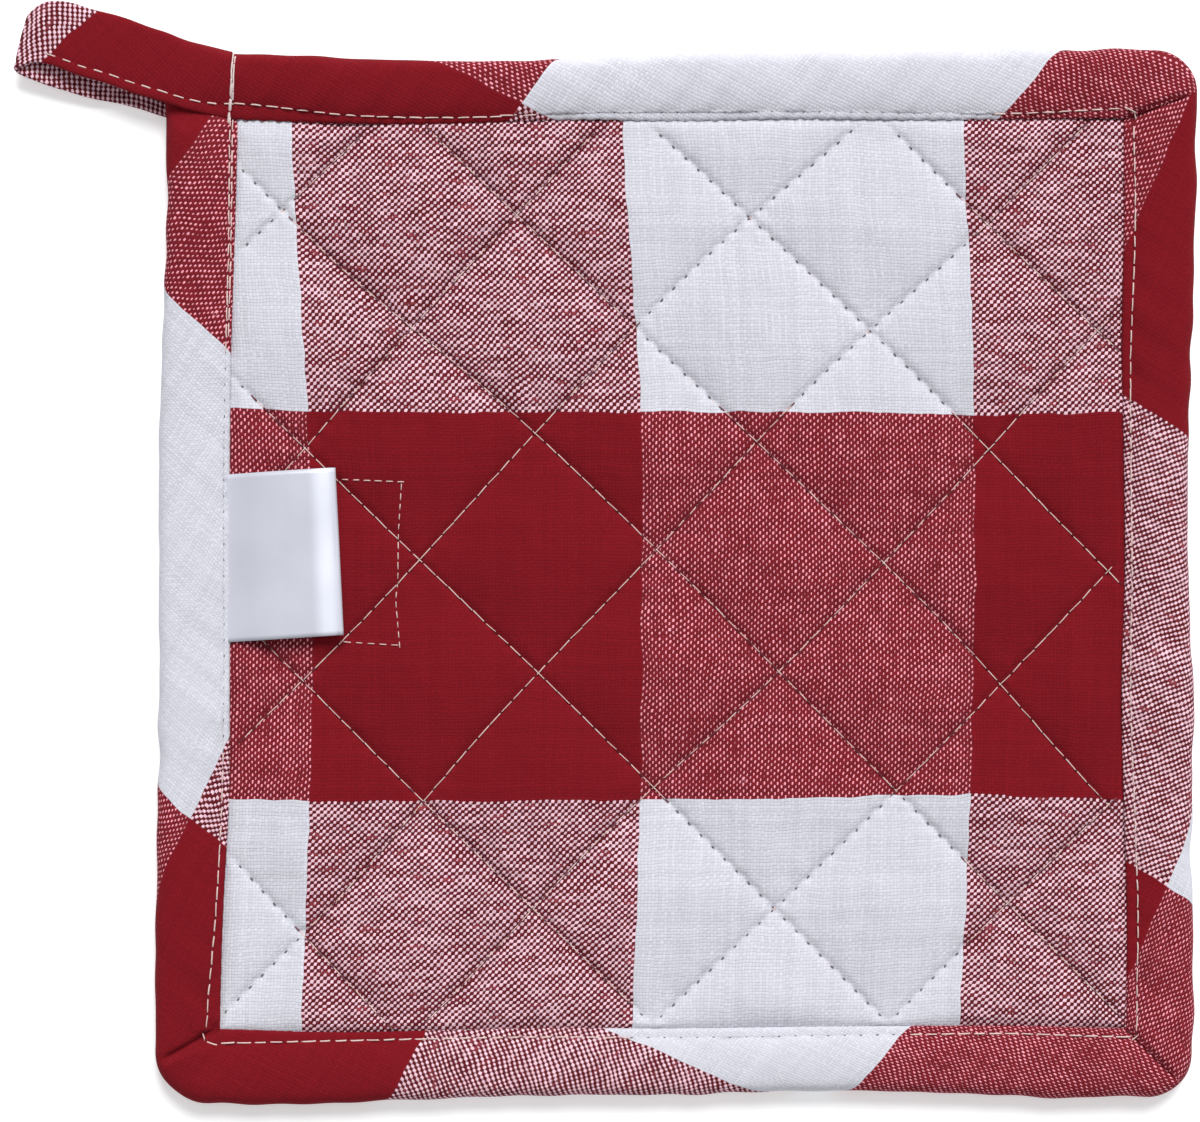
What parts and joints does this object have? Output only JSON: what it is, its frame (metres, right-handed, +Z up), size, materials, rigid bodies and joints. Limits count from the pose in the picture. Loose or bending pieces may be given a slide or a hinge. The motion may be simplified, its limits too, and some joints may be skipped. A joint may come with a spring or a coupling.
{
  "type": "quilted pot holder",
  "caption": "Square quilted cloth pot holder with a padded bias-bound edge, a corner hanging loop and a bare folded side label.",
  "frame": {"origin": "centre of the bounding box's underside, on the surface the pot holder lies on", "axes": "+Z up through the cloth, from the underside to the stitched face; +Y towards the side with the hanging loop's tack; +X away from the corner with the loop"},
  "size_m": [0.2274, 0.2116, 0.0086],
  "materials": {
    "checked_cotton": "matte plain-weave cotton, yarn-dyed red and white check",
    "binding_cotton": "matte plain-weave cotton cut on the bias",
    "loop_cotton": "matte plain-weave cotton tape, folded and topstitched",
    "label_satin": "satin ribbon, soft sheen"
  },
  "bodies": {
    "root": {"quilted_panel": "checked_cotton", "binding": "binding_cotton", "hanging_loop": "loop_cotton", "label": "label_satin"}
  },
  "joints": []
}
